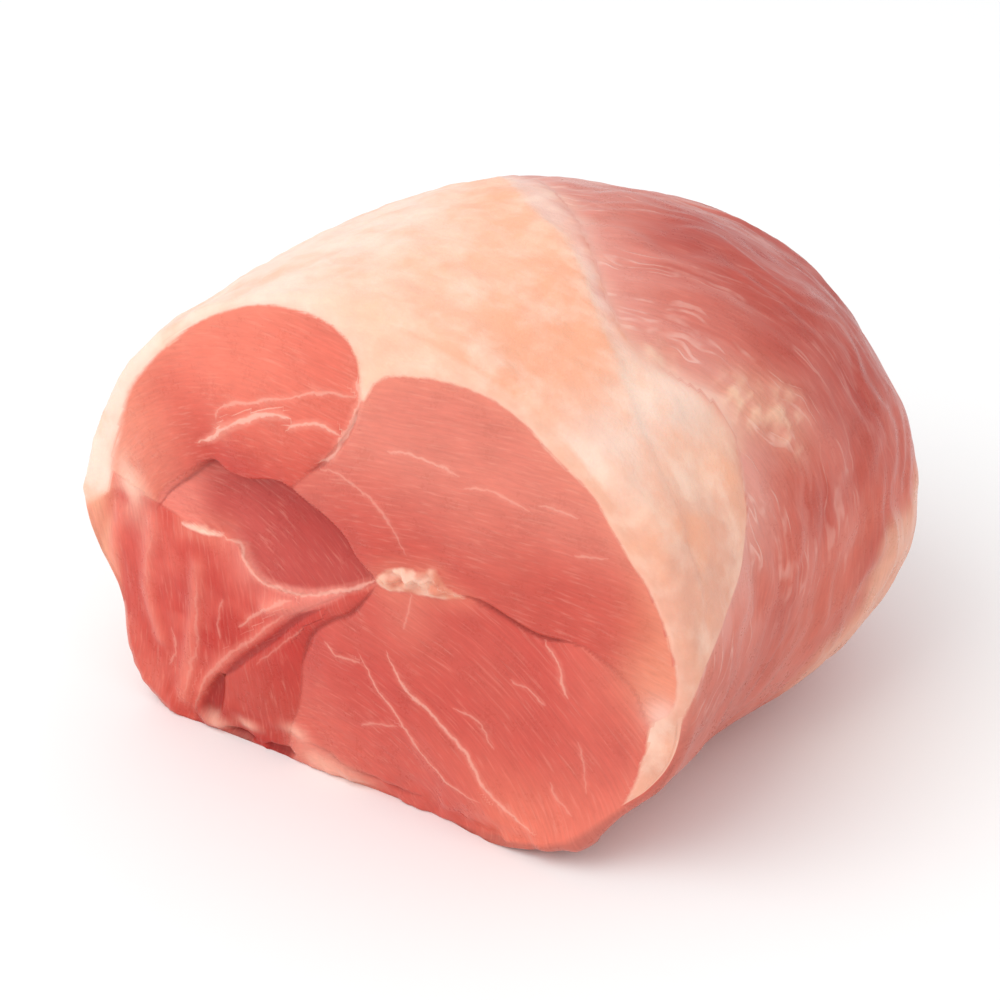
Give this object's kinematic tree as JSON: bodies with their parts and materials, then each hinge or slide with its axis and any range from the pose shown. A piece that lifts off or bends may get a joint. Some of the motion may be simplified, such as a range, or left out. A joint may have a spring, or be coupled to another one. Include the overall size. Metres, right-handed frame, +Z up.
{
  "type": "boneless pork leg",
  "caption": "Raw boneless, skinless leg of pork: a rounded block of muscle and fat with a flat cut face, lying on its underside.",
  "frame": {"origin": "middle of the bottom of the box around the meat, on the surface it lies on", "axes": "+Z up, -Y the way the cut face looks, +X to the right of somebody looking at the cut face, across its width"},
  "size_m": [0.2168, 0.201, 0.1579],
  "materials": {
    "meat": "moist raw muscle, satin, with creamy fat over the top and sides"
  },
  "bodies": {
    "root": {"pork_leg": "meat"}
  },
  "joints": []
}
